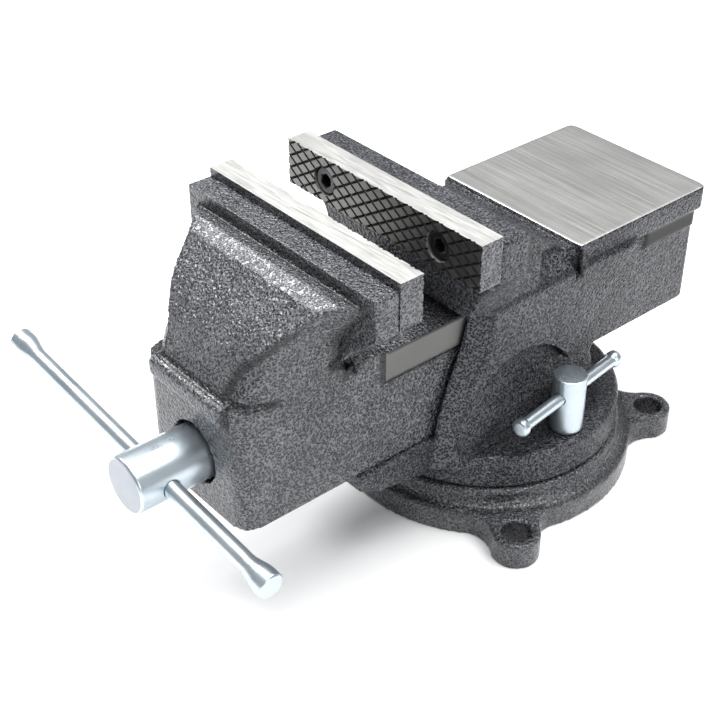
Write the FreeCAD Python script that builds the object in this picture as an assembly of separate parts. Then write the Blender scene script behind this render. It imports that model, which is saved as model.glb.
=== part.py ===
"""Bench vise with a swivel base, an anvil and 125 mm jaws. Millimetres, +Z up.

Origin: centre of the base's underside, on the swivel axis. The lead screw runs along Y:
its handle is at -Y, the anvil is at +Y, and the jaws are as wide as X.
"""
import FreeCAD, Part
import math
import os

os.makedirs("parts", exist_ok=True)
Vec = FreeCAD.Vector

# ---- driving dimensions -------------------------------------------------------------
JAW_WIDTH = 125.0          # width of both jaws
JAW_RISE = 54.0            # jaw plates' top above the slide
JAW_FACE_Y = -71.0         # face of the fixed jaw plate
JAW_GAP = 31.0             # opening between the plates as drawn

PLATE_HEIGHT = 22.0
PLATE_THICK = 12.0
PLATE_PROUD = 4.0          # plate top above the casting behind it
JAW_BACKING = 12.0         # casting behind a plate, at its top
JAW_SIDE_DEPTH = 19.0      # height of the jaw casting's upright side below its top
SEAT_LIP = 5.0             # height of the ledge that a plate stands on

SCREW_AXIS_Z = 80.6        # lead screw above the bench
SCREW_R = 10.0             # outside of the thread
HEAD_FLANGE = 3.0          # head's radius beyond the thread's
HEAD_LENGTH = 39.0
HEAD_CHAMFER = 1.5

SLIDE_HALF = 34.0          # half width of the moving jaw's slide
SLIDE_BOTTOM = 56.0
SLIDE_TOP = 116.0
SLIDE_WALL = 9.0
SLIDE_ROOF = 12.0
SLIDE_FRONT_WALL = 18.0
SLIDE_BACK_Y = 66.0
SLIDE_CORNER_R = 8.0
SLIDE_HEEL = 12.0          # how much shallower the slide is behind the vise body's floor
RAIL_PROUD = 1.8           # machined rail on each side of the slide
RAIL_HEIGHT = 15.4
RAIL_RUNOUT = 16.5         # rail's front end, behind the moving jaw's ledge

HOUSING_WALL = 4.9         # side walls of the housing around the slide
HOUSING_BACK_Y = 99.5
HOUSING_FOOT = 66.3        # bottom edge of the housing's side walls, behind the floor
CORE_BACK_Y = 40.0         # back end of the floor under the slide
CHEEK_STEP = 6.0           # how far the broad cheeks under the fixed jaw stand out from the housing

ANVIL_OVERHANG = 3.7       # anvil's side beyond the housing
ANVIL_FRONT_Y = 11.5
ANVIL_BACK_Y = 101.0
ANVIL_RISE = 14.0          # anvil's top above the slide's channel
ANVIL_THICK = 12.0

TURNTABLE_RIM = 11.4       # turntable's edge beyond the lock bolts
TURNTABLE_BOTTOM = 22.0
TURNTABLE_TOP = 40.0
SPIGOT_R = 20.0
SPIGOT_LENGTH = 12.0

BASE_FLANGE = 13.5
BASE_RING_STEP = 2.0       # base's ring beyond the turntable
BASE_STEP = 8.0            # base's flange beyond the turntable
LUG_COUNT = 4
LUG_FIRST_ANGLE = -33.5
LUG_REACH = 12.5           # bolt holes beyond the flange
LUG_END_R = 11.5
BASE_HOLE_R = 7.0

LOCK_INSET = 14.6          # lock bolts' distance from the housing's side
LOCK_BOLT_R = 5.0
LOCK_HEAD_SIZE = 18.0
LOCK_HEAD_THICK = 7.0
LOCK_NUT_R = 8.0
LOCK_NUT_HEIGHT = 30.9
LOCK_BAR_R = 3.0
LOCK_BAR_LENGTH = 78.0
LOCK_BAR_TURN = 7.4        # degrees that the bar stands off the Y direction
LOCK_BAR_Z = 60.5

HANDLE_R = 4.0
HANDLE_LENGTH = 189.0
HANDLE_OFFSET = -14.5      # how far the bar has slid to one side as drawn
HANDLE_TILT = 5.2          # degrees that the bar leans from level as drawn
HANDLE_KNOB_R = 6.0
HANDLE_KNOB_LENGTH = 17.0

PLATE_SCREW_X = 37.0
PLATE_SCREW_DROP = 11.5    # screw centre below the plate's top
CAP_HEAD_R = 6.5           # M8 socket head screw
CAP_HEAD_HEIGHT = 8.0
CAP_SHANK_R = 4.0
CAP_SHANK_LENGTH = 12.0
CAP_SOCKET = 6.0           # across flats
CAP_SUNK = 1.0

NUT_HALF = 20.0
NUT_LENGTH = 30.0
NUT_BOLT_R = 5.0
NUT_BOLT_HEAD_R = 8.0
NUT_BOLT_HEAD = 9.0
NUT_BOLT_REACH = 15.0      # bolt's length inside the nut

RUN_FIT = 0.15             # radial clearance of turning and sliding pins
SLIDE_FIT = 0.3            # clearance around the slide
LOOSE_FIT = 0.6            # clearance of bolt holes and counterbores
FACE_FIT = 0.1             # gap between faces that turn on each other

# ---- places that follow from them -----------------------------------------------------
JAW_TOP = SLIDE_TOP + JAW_RISE
HEAD_R = SCREW_R + HEAD_FLANGE
MOVING_FACE_Y = JAW_FACE_Y - JAW_GAP
MOVING_BACKING_Y = MOVING_FACE_Y - PLATE_THICK
FIXED_BACKING_Y = JAW_FACE_Y + PLATE_THICK
CASTING_TOP = JAW_TOP - PLATE_PROUD
PLATE_BOTTOM = JAW_TOP - PLATE_HEIGHT
HALF_JAW = JAW_WIDTH / 2
MOVING_LEDGE_Y = MOVING_BACKING_Y - JAW_BACKING
SLIDE_FRONT_Y = MOVING_LEDGE_Y - 47.0
HEAD_SINK = 6.0            # counterbore that takes the head and its washer
HEAD_ROOM = 1.6            # counterbore around the head
WASHER_THICK = 2.0
HEAD_SEAT_Y = SLIDE_FRONT_Y + HEAD_SINK - WASHER_THICK
HEAD_END_Y = HEAD_SEAT_Y - HEAD_LENGTH
HANDLE_Y = HEAD_END_Y + 15.0
SLIDE_CAVITY_Y = SLIDE_FRONT_Y + SLIDE_FRONT_WALL
SCREW_END_Y = SLIDE_BACK_Y - 4.0
CHANNEL_HALF = SLIDE_HALF + RAIL_PROUD + SLIDE_FIT
HOUSING_HALF = CHANNEL_HALF + HOUSING_WALL
CHEEK_HALF = HOUSING_HALF + CHEEK_STEP
ANVIL_HALF = HOUSING_HALF + ANVIL_OVERHANG
LOCK_X = HOUSING_HALF + LOCK_INSET
TURNTABLE_R = LOCK_X + TURNTABLE_RIM
BASE_RING_R = TURNTABLE_R + BASE_RING_STEP
BASE_R = TURNTABLE_R + BASE_STEP
LUG_CIRCLE_R = BASE_R + LUG_REACH
CHANNEL_FLOOR = SLIDE_BOTTOM - SLIDE_FIT
CHANNEL_TOP = SLIDE_TOP + SLIDE_FIT
ANVIL_TOP = CHANNEL_TOP + ANVIL_RISE
PLATE_SCREW_Z = JAW_TOP - PLATE_SCREW_DROP
NUT_FRONT_Y = JAW_FACE_Y + 9.0
NUT_MID_Y = NUT_FRONT_Y + NUT_LENGTH / 2
BASE_TOP = TURNTABLE_BOTTOM - FACE_FIT


# ---- small builders ---------------------------------------------------------------------
def block(x0, x1, y0, y1, z0, z1):
    """A box between two corners."""
    return Part.makeBox(x1 - x0, y1 - y0, z1 - z0, Vec(x0, y0, z0))


def rod(radius, start, along, length):
    """A cylinder from a start point along a direction."""
    return Part.makeCylinder(radius, length, start, along)


def outline_yz(points, x0, x1):
    """A solid from a closed YZ outline, between two X planes."""
    wire = Part.makePolygon([Vec(x0, y, z) for y, z in points + points[:1]])
    return Part.Face(wire).extrude(Vec(x1 - x0, 0, 0))


def both_sides(shape):
    """A shape together with its mirror image across X = 0."""
    return [shape, shape.mirror(Vec(0, 0, 0), Vec(1, 0, 0))]


def fused(shapes):
    """One solid from several that overlap."""
    whole = shapes[0].multiFuse(shapes[1:])
    return whole.removeSplitter()


def rounded(shape, radius, wanted):
    """A fillet on the edges that the test picks by their middle point."""
    edges = [e for e in shape.Edges if wanted(e.CenterOfMass)]
    return shape.makeFillet(radius, edges)


def turned(profile, start, along):
    """A solid of revolution from (radius, distance) points, set along a direction."""
    wire = Part.makePolygon([Vec(r, 0, d) for r, d in profile + profile[:1]])
    solid = Part.Face(wire).revolve(Vec(0, 0, 0), Vec(0, 0, 1), 360)
    turn = FreeCAD.Rotation(Vec(0, 0, 1), along)
    solid.Placement = FreeCAD.Placement(start, turn)
    return solid


def hexagon(flats, start, along, length):
    """A hexagonal prism, for sockets."""
    corner = flats / math.sqrt(3)
    points = [Vec(corner * math.cos(math.radians(60 * k)), corner * math.sin(math.radians(60 * k)), 0)
              for k in range(7)]
    prism = Part.Face(Part.makePolygon(points)).extrude(Vec(0, 0, length))
    prism.Placement = FreeCAD.Placement(start, FreeCAD.Rotation(Vec(0, 0, 1), along))
    return prism


def save(name, shapes):
    """Write one node: a single solid, or a group of separate ones."""
    shape = shapes if isinstance(shapes, Part.Shape) else Part.makeCompound(shapes)
    shape.exportStep("parts/" + name + ".step")


# ---- swivel base --------------------------------------------------------------------------
SLOT_HALF = LOCK_BOLT_R + LOOSE_FIT
SLOT_ROOM = LOCK_HEAD_SIZE / 2 + 1.2
SLOT_FLOOR = 5.0
SLOT_LIP = SLOT_FLOOR + LOCK_HEAD_THICK + 0.8
RIM_BEVEL = 1.2            # edges of the ring and the turntable where they meet
LUG_ROOT_R = BASE_R - 4.5
LUG_ROOT_HALF = 24.0
LUG_NECK_R = BASE_R + 2.5
LUG_NECK_HALF = 14.0


def base_lug(angle):
    """One bolting lug: a round end with hollow flanks that run into the flange."""
    end = [Vec(LUG_CIRCLE_R, -LUG_END_R, 0), Vec(LUG_CIRCLE_R + LUG_END_R, 0, 0), Vec(LUG_CIRCLE_R, LUG_END_R, 0)]
    neck = Vec(LUG_NECK_R, LUG_NECK_HALF, 0)
    root = Vec(LUG_ROOT_R, LUG_ROOT_HALF, 0)
    neck_low = Vec(neck.x, -neck.y, 0)
    root_low = Vec(root.x, -root.y, 0)
    edges = [Part.Arc(*end).toShape(), Part.Arc(end[2], neck, root).toShape(),
             Part.LineSegment(root, root_low).toShape(), Part.Arc(root_low, neck_low, end[0]).toShape()]
    lug = Part.Face(Part.Wire(edges)).extrude(Vec(0, 0, BASE_FLANGE))
    lug.rotate(Vec(0, 0, 0), Vec(0, 0, 1), angle)
    return lug


def swivel_base():
    """Cast base: flange with four lugs, a ring with a T slot for the lock bolts, a centre bore."""
    lug_angles = [LUG_FIRST_ANGLE + k * 360 / LUG_COUNT for k in range(LUG_COUNT)]
    flange = rod(BASE_R, Vec(0, 0, 0), Vec(0, 0, 1), BASE_FLANGE)
    flange = flange.makeFillet(2.0, [e for e in flange.Edges if abs(e.CenterOfMass.z - BASE_FLANGE) < 0.1])
    ring = turned([(0, 1.0), (BASE_RING_R + 4.6, 1.0), (BASE_RING_R + 4.6, BASE_FLANGE + 0.1),
                   (BASE_RING_R + 2.6, BASE_FLANGE + 0.5), (BASE_RING_R + 1.0, BASE_FLANGE + 1.7),
                   (BASE_RING_R + 0.2, BASE_FLANGE + 3.4), (BASE_RING_R, BASE_TOP - RIM_BEVEL),
                   (BASE_RING_R - RIM_BEVEL, BASE_TOP), (0, BASE_TOP)], Vec(0, 0, 0), Vec(0, 0, 1))
    body = fused([flange, ring] + [base_lug(a) for a in lug_angles])
    slot = turned([(LOCK_X - SLOT_HALF, SLOT_LIP), (LOCK_X - SLOT_HALF, BASE_TOP + 1),
                   (LOCK_X + SLOT_HALF, BASE_TOP + 1), (LOCK_X + SLOT_HALF, SLOT_LIP),
                   (LOCK_X + SLOT_ROOM, SLOT_LIP), (LOCK_X + SLOT_ROOM, SLOT_FLOOR),
                   (LOCK_X - SLOT_ROOM, SLOT_FLOOR), (LOCK_X - SLOT_ROOM, SLOT_LIP)],
                  Vec(0, 0, 0), Vec(0, 0, 1))
    body = body.cut(slot)
    body = body.cut(rod(SPIGOT_R + RUN_FIT, Vec(0, 0, -1), Vec(0, 0, 1), BASE_TOP + 2))
    body = body.cut(rod(LOCK_X - SLOT_ROOM - 6.0, Vec(0, 0, -1), Vec(0, 0, 1), 8.0))
    entry_half = SLOT_ROOM + 0.5
    entry = block(-entry_half, entry_half, LOCK_X - SLOT_ROOM, LOCK_X + SLOT_HALF, SLOT_LIP - 1, BASE_TOP + 1)
    body = body.cut(entry)
    for angle in lug_angles:
        place = Vec(LUG_CIRCLE_R * math.cos(math.radians(angle)), LUG_CIRCLE_R * math.sin(math.radians(angle)), -1)
        body = body.cut(rod(BASE_HOLE_R, place, Vec(0, 0, 1), BASE_FLANGE + 2))
    return body


save("swivel_base", swivel_base())

# ---- static jaw casting ---------------------------------------------------------------------
HOLLOW_TOP_Z = 90.0        # top of the hollow that gives room to the lock nuts
HOLLOW_FRONT_Y = -58.0
HOLLOW_REACH = 30.0        # more than the cheeks stand out
VALLEY_LOW = (8.0, 72.0)   # the broad cheek's sloping rear edge, low end and high end (Y, Z)
CHEEK_TOP = ANVIL_TOP - ANVIL_THICK + 1.5
VALLEY_HIGH = (50.4, CHEEK_TOP)
REAR_DRAFT = 1.2           # slope of the cheek's rear edge down to the housing
VALLEY_FRONT_Y = -16.0     # where the dip between the fixed jaw and the anvil starts, at each end
SHELF_FRONT_Y = -112.0
SHOULDER_LOW_Z = CHANNEL_TOP + 4.7
TAPER_LENGTH = 20.0        # how far the fixed jaw's ends run out behind it
MOUTH = [(-50.0, CHEEK_TOP), (-55.0, 100.0), (-61.0, 85.0), (-67.0, 68.0), (-72.0, TURNTABLE_TOP)]
CHEEK_FRONT = [(-44.0, CHEEK_TOP), (-44.5, 99.0), (-48.5, 80.0), (-54.0, 67.0), (-61.0, TURNTABLE_TOP)]


def shoulder_half(low_half, low_z):
    """Right half of a jaw's outline: an upright side that hollows in to the body under it (X, Z)."""
    side_z = CASTING_TOP - JAW_SIDE_DEPTH
    middle_half = (HALF_JAW + low_half) / 2 - 2.5
    middle_z = (side_z + low_z) / 2 + 1.0
    return [(HALF_JAW, CASTING_TOP), (HALF_JAW, side_z), (middle_half, middle_z), (low_half, low_z)]


def across(half, y):
    """A closed outline at one Y from its right half."""
    points = half + [(-x, z) for x, z in reversed(half)]
    return Part.makePolygon([Vec(x, y, z) for x, z in points + points[:1]])


def jaw_shoulder(front_y, back_y, low_half, low_z):
    """The wide top of a jaw casting."""
    return Part.Face(across(shoulder_half(low_half, low_z), front_y)).extrude(Vec(0, back_y - front_y, 0))


def static_front(x0, x1):
    """Half of the cheeks: from the slide's mouth out to the flat cheek, with a slanted front."""
    rear_inner = [(VALLEY_LOW[0] - 7.0, TURNTABLE_TOP), (VALLEY_LOW[0] + REAR_DRAFT, VALLEY_LOW[1]),
                  (VALLEY_HIGH[0] + REAR_DRAFT, VALLEY_HIGH[1])]
    rear_outer = [(VALLEY_LOW[0] - 8.0, TURNTABLE_TOP), VALLEY_LOW, VALLEY_HIGH]
    inner = MOUTH + rear_inner
    outer = CHEEK_FRONT + rear_outer
    wires = []
    for x, points in ((x0, inner), (x1, outer)):
        wires.append(Part.makePolygon([Vec(x, y, z) for y, z in points + points[:1]]))
    return Part.makeLoft(wires, True, True)


def static_jaw_body():
    """Cast body: turntable, housing for the slide, cheeks, fixed jaw and anvil in one piece."""
    table = rod(TURNTABLE_R, Vec(0, 0, TURNTABLE_BOTTOM), Vec(0, 0, 1), TURNTABLE_TOP - TURNTABLE_BOTTOM)
    table = table.makeFillet(2.5, [e for e in table.Edges if abs(e.CenterOfMass.z - TURNTABLE_TOP) < 0.1])
    table = table.makeChamfer(RIM_BEVEL, [e for e in table.Edges
                                          if abs(e.CenterOfMass.z - TURNTABLE_BOTTOM) < 0.1])
    spigot = rod(SPIGOT_R, Vec(0, 0, TURNTABLE_BOTTOM - SPIGOT_LENGTH), Vec(0, 0, 1), SPIGOT_LENGTH + 1)
    mouth_half = CHANNEL_HALF + 1.5
    anvil_bottom = ANVIL_TOP - ANVIL_THICK
    cheeks = both_sides(static_front(mouth_half, CHEEK_HALF))
    core = outline_yz(MOUTH + [(CORE_BACK_Y, TURNTABLE_TOP), (CORE_BACK_Y - 5.0, 60.0),
                               (CORE_BACK_Y, HOUSING_FOOT), (CORE_BACK_Y, CHEEK_TOP)], -mouth_half, mouth_half)
    housing = block(-HOUSING_HALF, HOUSING_HALF, -20.0, HOUSING_BACK_Y, HOUSING_FOOT, anvil_bottom + 1)
    housing = rounded(housing, 3.0, lambda c: abs(c.y - HOUSING_BACK_Y) < 0.1 and abs(c.x) > 1)
    cheek = CHEEK_HALF - 1.0
    taper_y = FIXED_BACKING_Y + JAW_BACKING + 3.0
    rise = CASTING_TOP - ANVIL_TOP
    hump = outline_yz([(-46.0, CHANNEL_TOP + 0.7), (FIXED_BACKING_Y, CHANNEL_TOP + 7.7),
                       (FIXED_BACKING_Y, CASTING_TOP), (taper_y, CASTING_TOP), (-30.0, ANVIL_TOP + 0.69 * rise),
                       (-3.0, ANVIL_TOP + 0.1 * rise), (ANVIL_FRONT_Y - 5.0, ANVIL_TOP - 1.5),
                       (ANVIL_FRONT_Y, ANVIL_TOP - 2.5), (ANVIL_FRONT_Y + 8.0, CHANNEL_TOP + 0.7)], -cheek, cheek)
    shoulder = jaw_shoulder(FIXED_BACKING_Y, taper_y, cheek, SHOULDER_LOW_Z)
    taper_end = [(cheek, ANVIL_TOP + 0.52 * rise), (cheek, ANVIL_TOP + 0.36 * rise),
                 (cheek, ANVIL_TOP + 0.1 * rise), (cheek, SHOULDER_LOW_Z)]
    taper = Part.makeLoft([across(shoulder_half(cheek, SHOULDER_LOW_Z), taper_y),
                           across(taper_end, taper_y + TAPER_LENGTH)], True, True)
    lip = block(-HALF_JAW + 2, HALF_JAW - 2, FIXED_BACKING_Y - 4.0, FIXED_BACKING_Y + 2.0,
                PLATE_BOTTOM - SEAT_LIP, PLATE_BOTTOM)
    anvil = block(-ANVIL_HALF, ANVIL_HALF, ANVIL_FRONT_Y, ANVIL_BACK_Y, anvil_bottom, ANVIL_TOP)
    anvil = rounded(anvil, 4.0, lambda c: abs(c.y - ANVIL_BACK_Y) < 0.1 and abs(c.x) > ANVIL_HALF - 1)
    pad_half = HOUSING_HALF + 1.2
    pad = block(-pad_half, pad_half, 62.0, HOUSING_BACK_Y - 2.0, anvil_bottom - 9.5, anvil_bottom + 1)
    shelf = outline_yz([(SHELF_FRONT_Y, CHANNEL_FLOOR), (SHELF_FRONT_Y, CHANNEL_FLOOR - 8.0),
                        (SHELF_FRONT_Y + 12.0, TURNTABLE_TOP + 2.0), (-66.0, TURNTABLE_TOP - 4.0),
                        (-50.0, TURNTABLE_TOP - 4.0), (-50.0, CHANNEL_FLOOR)], -CHANNEL_HALF, CHANNEL_HALF)
    body = fused([table, spigot, core, housing, hump, shoulder, taper, lip, anvil, pad, shelf] + cheeks)

    start = Vec(0, HOLLOW_FRONT_Y, TURNTABLE_TOP)
    foot = Vec(0, VALLEY_LOW[0] - 1.0, TURNTABLE_TOP)
    arch = Part.Arc(start, Vec(0, -27.0, HOLLOW_TOP_Z), Vec(0, foot.y, VALLEY_LOW[1] + 0.5))
    hollow_wire = Part.Wire([arch.toShape(), Part.LineSegment(arch.EndPoint, foot).toShape(),
                             Part.LineSegment(foot, start).toShape()])
    hollow_face = Part.Face(hollow_wire)
    hollow_face.translate(Vec(HOUSING_HALF, 0, 0))
    hollows = both_sides(hollow_face.extrude(Vec(HOLLOW_REACH, 0, 0)))
    rear_room = block(HOUSING_HALF, HOUSING_HALF + HOLLOW_REACH, 0.0, 60.0, TURNTABLE_TOP, VALLEY_LOW[1])
    valley = Part.makePolygon([Vec(x, VALLEY_FRONT_Y, z) for x, z in (
        (cheek - 8.0, ANVIL_TOP + 8.0), (cheek + 5.0, ANVIL_TOP + 8.0), (cheek + 5.0, ANVIL_TOP - 12.0),
        (cheek, ANVIL_TOP - 10.0), (cheek - 8.0, ANVIL_TOP), (cheek - 8.0, ANVIL_TOP + 8.0))])
    valley_cut = Part.Face(valley).extrude(Vec(0, ANVIL_FRONT_Y - VALLEY_FRONT_Y, 0))
    notch = block(cheek - 4.0, cheek + 5.0, ANVIL_FRONT_Y - 4.5, ANVIL_FRONT_Y, CHEEK_TOP - 4.0, ANVIL_TOP + 8.0)
    body = body.cut(Part.makeCompound(hollows))
    for room in both_sides(rear_room) + both_sides(valley_cut) + both_sides(notch):
        body = body.cut(room)
    channel = block(-CHANNEL_HALF, CHANNEL_HALF, -130.0, 130.0, CHANNEL_FLOOR, CHANNEL_TOP)
    body = body.cut(channel)
    for x in (-LOCK_X, LOCK_X):
        body = body.cut(rod(LOCK_BOLT_R + LOOSE_FIT, Vec(x, 0, 0), Vec(0, 0, 1), TURNTABLE_TOP + 5))
    for x in (-PLATE_SCREW_X, PLATE_SCREW_X):
        body = body.cut(rod(CAP_SHANK_R, Vec(x, FIXED_BACKING_Y - 1, PLATE_SCREW_Z), Vec(0, 1, 0), 14.0))
    body = body.cut(rod(NUT_BOLT_R + LOOSE_FIT, Vec(0, NUT_MID_Y, 0), Vec(0, 0, 1), CHANNEL_FLOOR + 5))
    body = body.cut(rod(NUT_BOLT_HEAD_R + 1.5, Vec(0, NUT_MID_Y, 0), Vec(0, 0, 1),
                        TURNTABLE_BOTTOM + NUT_BOLT_HEAD + WASHER_THICK + 1.0))
    return body


save("static_jaw_body", static_jaw_body())

# ---- moving jaw casting -----------------------------------------------------------------------
BONNET_LIP_HALF = SLIDE_HALF - 9.0
BONNET_LIP_LOW = 8.0
RIM_LIP = 2.2              # how far the shield's rim overhangs the flank under it
RIM_THICK = 3.2


def bonnet():
    """The domed shield in front of the moving jaw: a crisp overhanging rim above hollow flanks."""
    rise = CASTING_TOP - SLIDE_TOP
    stations = [(8.0, 0.98, 0.80, 0.0), (-2.0, 0.715, 0.88, 0.0), (-6.0, 0.56, 0.88, 0.0), (-13.0, 0.365, 0.83, 0.0),
                (-20.0, 0.23, 0.72, 0.0), (-27.0, 0.09, 0.62, 0.0), (-33.0, -0.075, 0.50, 1.5),
                (-38.0, -0.27, 0.38, 3.0), (-42.0, -0.36, 0.19, 6.0), (-45.5, -0.38, 0.04, 9.0)]
    wires = []
    for back, width_share, height_share, inset in stations:
        foot = SLIDE_HALF - inset
        rim = SLIDE_HALF + width_share * (HALF_JAW - SLIDE_HALF)
        rim_z = SLIDE_TOP + height_share * rise
        foot_z = SLIDE_TOP - 4.0
        under = rim - RIM_LIP
        neck = foot + 0.25 * (under - foot)
        half = [(rim, rim_z), (under, rim_z - min(RIM_THICK, 0.3 * (rim_z - foot_z))),
                (neck, rim_z - 0.45 * (rim_z - foot_z)), (foot, foot_z)]
        wires.append(across(half, MOVING_LEDGE_Y + back))
    return Part.makeLoft(wires, True, True)


def moving_jaw_body():
    """Cast body: hollow slide, front wall, domed shield and moving jaw in one piece."""
    slide = block(-SLIDE_HALF, SLIDE_HALF, SLIDE_FRONT_Y, SLIDE_BACK_Y, SLIDE_BOTTOM, SLIDE_TOP)
    slide = rounded(slide, SLIDE_CORNER_R, lambda c: abs(c.y - SLIDE_FRONT_Y) < 0.1 and abs(c.x) > 1)
    rail_half = SLIDE_HALF + RAIL_PROUD
    rail_front_y = MOVING_BACKING_Y + RAIL_RUNOUT
    rail = block(-rail_half, rail_half, rail_front_y, SLIDE_BACK_Y, SLIDE_TOP - RAIL_HEIGHT, SLIDE_TOP)
    shoulder = jaw_shoulder(MOVING_LEDGE_Y, MOVING_BACKING_Y, SLIDE_HALF, SLIDE_TOP + 2.0)
    heel = outline_yz([(MOVING_BACKING_Y - 1, PLATE_BOTTOM), (MOVING_FACE_Y - 2.0, PLATE_BOTTOM),
                       (MOVING_FACE_Y - 2.0, PLATE_BOTTOM - SEAT_LIP), (MOVING_BACKING_Y + 3.0, SLIDE_TOP - 2.0),
                       (MOVING_BACKING_Y - 1, SLIDE_TOP - 2.0)], -SLIDE_HALF - 4.0, SLIDE_HALF + 4.0)
    lip = block(-HALF_JAW + 2, HALF_JAW - 2, MOVING_BACKING_Y - 2.0, MOVING_BACKING_Y + 4.0,
                PLATE_BOTTOM - SEAT_LIP, PLATE_BOTTOM)
    front_lip = block(-BONNET_LIP_HALF, BONNET_LIP_HALF, SLIDE_FRONT_Y - 3.5, SLIDE_FRONT_Y + 8.0,
                      SLIDE_TOP - BONNET_LIP_LOW, SLIDE_TOP + 2.0)
    front_lip = rounded(front_lip, 3.0, lambda c: abs(c.y - SLIDE_FRONT_Y + 3.5) < 0.1 and abs(c.x) < 1)
    body = fused([slide, rail, shoulder, heel, lip, front_lip, bonnet()])
    cavity = block(-SLIDE_HALF + SLIDE_WALL, SLIDE_HALF - SLIDE_WALL, SLIDE_CAVITY_Y, SLIDE_BACK_Y + 1,
                   SLIDE_BOTTOM - 1, SLIDE_TOP - SLIDE_ROOF)
    body = body.cut(cavity)
    closing = JAW_GAP - FACE_FIT
    heel_end_y = CORE_BACK_Y - closing - 2.0
    step = outline_yz([(heel_end_y - SLIDE_HEEL, SLIDE_BOTTOM - 1), (heel_end_y, SLIDE_BOTTOM + SLIDE_HEEL),
                       (SLIDE_BACK_Y + 1, SLIDE_BOTTOM + SLIDE_HEEL), (SLIDE_BACK_Y + 1, SLIDE_BOTTOM - 1)],
                      -SLIDE_HALF - 5.0, SLIDE_HALF + 5.0)
    body = body.cut(step)
    body = body.cut(rod(HEAD_R + HEAD_ROOM, Vec(0, SLIDE_FRONT_Y - 5, SCREW_AXIS_Z), Vec(0, 1, 0), 5 + HEAD_SINK))
    body = body.cut(rod(SCREW_R + LOOSE_FIT, Vec(0, SLIDE_FRONT_Y, SCREW_AXIS_Z), Vec(0, 1, 0), 30.0))
    for x in (-PLATE_SCREW_X, PLATE_SCREW_X):
        body = body.cut(rod(CAP_SHANK_R, Vec(x, MOVING_BACKING_Y + 1, PLATE_SCREW_Z), Vec(0, -1, 0), 11.0))
    return body


save("moving_jaw_body", moving_jaw_body())


# ---- jaw plates and their screws -----------------------------------------------------------------
def jaw_plate(face_y, into):
    """Hardened plate with two counterbored holes; 'into' points from its face to the casting."""
    low_y = min(face_y, face_y + into * PLATE_THICK)
    plate = block(-HALF_JAW, HALF_JAW, low_y, low_y + PLATE_THICK, PLATE_BOTTOM, JAW_TOP)
    for x in (-PLATE_SCREW_X, PLATE_SCREW_X):
        start = Vec(x, face_y - into, PLATE_SCREW_Z)
        plate = plate.cut(rod(CAP_HEAD_R + LOOSE_FIT, start, Vec(0, into, 0), 1 + CAP_SUNK + CAP_HEAD_HEIGHT))
        plate = plate.cut(rod(CAP_SHANK_R + LOOSE_FIT, start, Vec(0, into, 0), PLATE_THICK + 2))
    return plate


def cap_screws(face_y, into):
    """Two M8 socket head screws that hold a jaw plate."""
    screws = []
    for x in (-PLATE_SCREW_X, PLATE_SCREW_X):
        start = Vec(x, face_y + into * CAP_SUNK, PLATE_SCREW_Z)
        head = rod(CAP_HEAD_R, start, Vec(0, into, 0), CAP_HEAD_HEIGHT)
        shank = rod(CAP_SHANK_R, start, Vec(0, into, 0), CAP_HEAD_HEIGHT + CAP_SHANK_LENGTH)
        socket = hexagon(CAP_SOCKET, start, Vec(0, into, 0), CAP_HEAD_HEIGHT / 2)
        screws.append(fused([head, shank]).cut(socket))
    return screws


save("fixed_jaw_plate", jaw_plate(JAW_FACE_Y, 1))
save("fixed_jaw_screws", cap_screws(JAW_FACE_Y, 1))
save("moving_jaw_plate", jaw_plate(MOVING_FACE_Y, -1))
save("moving_jaw_screws", cap_screws(MOVING_FACE_Y, -1))

# ---- lead screw, handle and what holds the screw in the moving jaw ----------------------------------
SPRING_LENGTH = 18.0
SPRING_WIRE_R = 1.2
SPRING_TURNS = 5
SPRING_R = SCREW_R + SPRING_WIRE_R + 1.0
PIN_R = 2.0
AXIS = Vec(0, 1, 0)
LEAN = Vec(math.cos(math.radians(HANDLE_TILT)), 0, -math.sin(math.radians(HANDLE_TILT)))


def on_axis(y):
    """A point on the lead screw's axis."""
    return Vec(0, y, SCREW_AXIS_Z)


def washer(inner_r, outer_r, start, along, thick):
    """A plain round washer."""
    return rod(outer_r, start, along, thick).cut(rod(inner_r, start, along, thick))


SPRING_START_Y = SLIDE_CAVITY_Y + WASHER_THICK + FACE_FIT
COLLAR_Y = SPRING_START_Y + SPRING_LENGTH
PIN_Y = COLLAR_Y + WASHER_THICK + PIN_R

head_chamfered = turned([(0, 0), (HEAD_R - HEAD_CHAMFER, 0), (HEAD_R, HEAD_CHAMFER), (HEAD_R, HEAD_LENGTH),
                         (SCREW_R, HEAD_LENGTH), (SCREW_R, SCREW_END_Y - HEAD_END_Y - 2.0),
                         (SCREW_R - 2.0, SCREW_END_Y - HEAD_END_Y), (0, SCREW_END_Y - HEAD_END_Y)],
                        on_axis(HEAD_END_Y), AXIS)
cross_hole = rod(HANDLE_R + SLIDE_FIT, on_axis(HANDLE_Y) - LEAN * 30, LEAN, 60.0)
pin_hole = rod(PIN_R + RUN_FIT, on_axis(PIN_Y) + Vec(0, 0, -20), Vec(0, 0, 1), 40.0)
save("lead_screw", head_chamfered.cut(cross_hole).cut(pin_hole))

half_bar = HANDLE_LENGTH / 2
knob_start = half_bar - HANDLE_KNOB_LENGTH
bar_profile = [(0, -half_bar), (HANDLE_KNOB_R - 1.0, -half_bar), (HANDLE_KNOB_R, -half_bar + 2.0),
               (HANDLE_KNOB_R - 0.4, -half_bar + 7.0), (HANDLE_R, -knob_start), (HANDLE_R, knob_start),
               (HANDLE_KNOB_R - 0.4, half_bar - 7.0), (HANDLE_KNOB_R, half_bar - 2.0),
               (HANDLE_KNOB_R - 1.0, half_bar), (0, half_bar)]
save("handle_bar", turned(bar_profile, on_axis(HANDLE_Y) + LEAN * HANDLE_OFFSET, LEAN))

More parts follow.
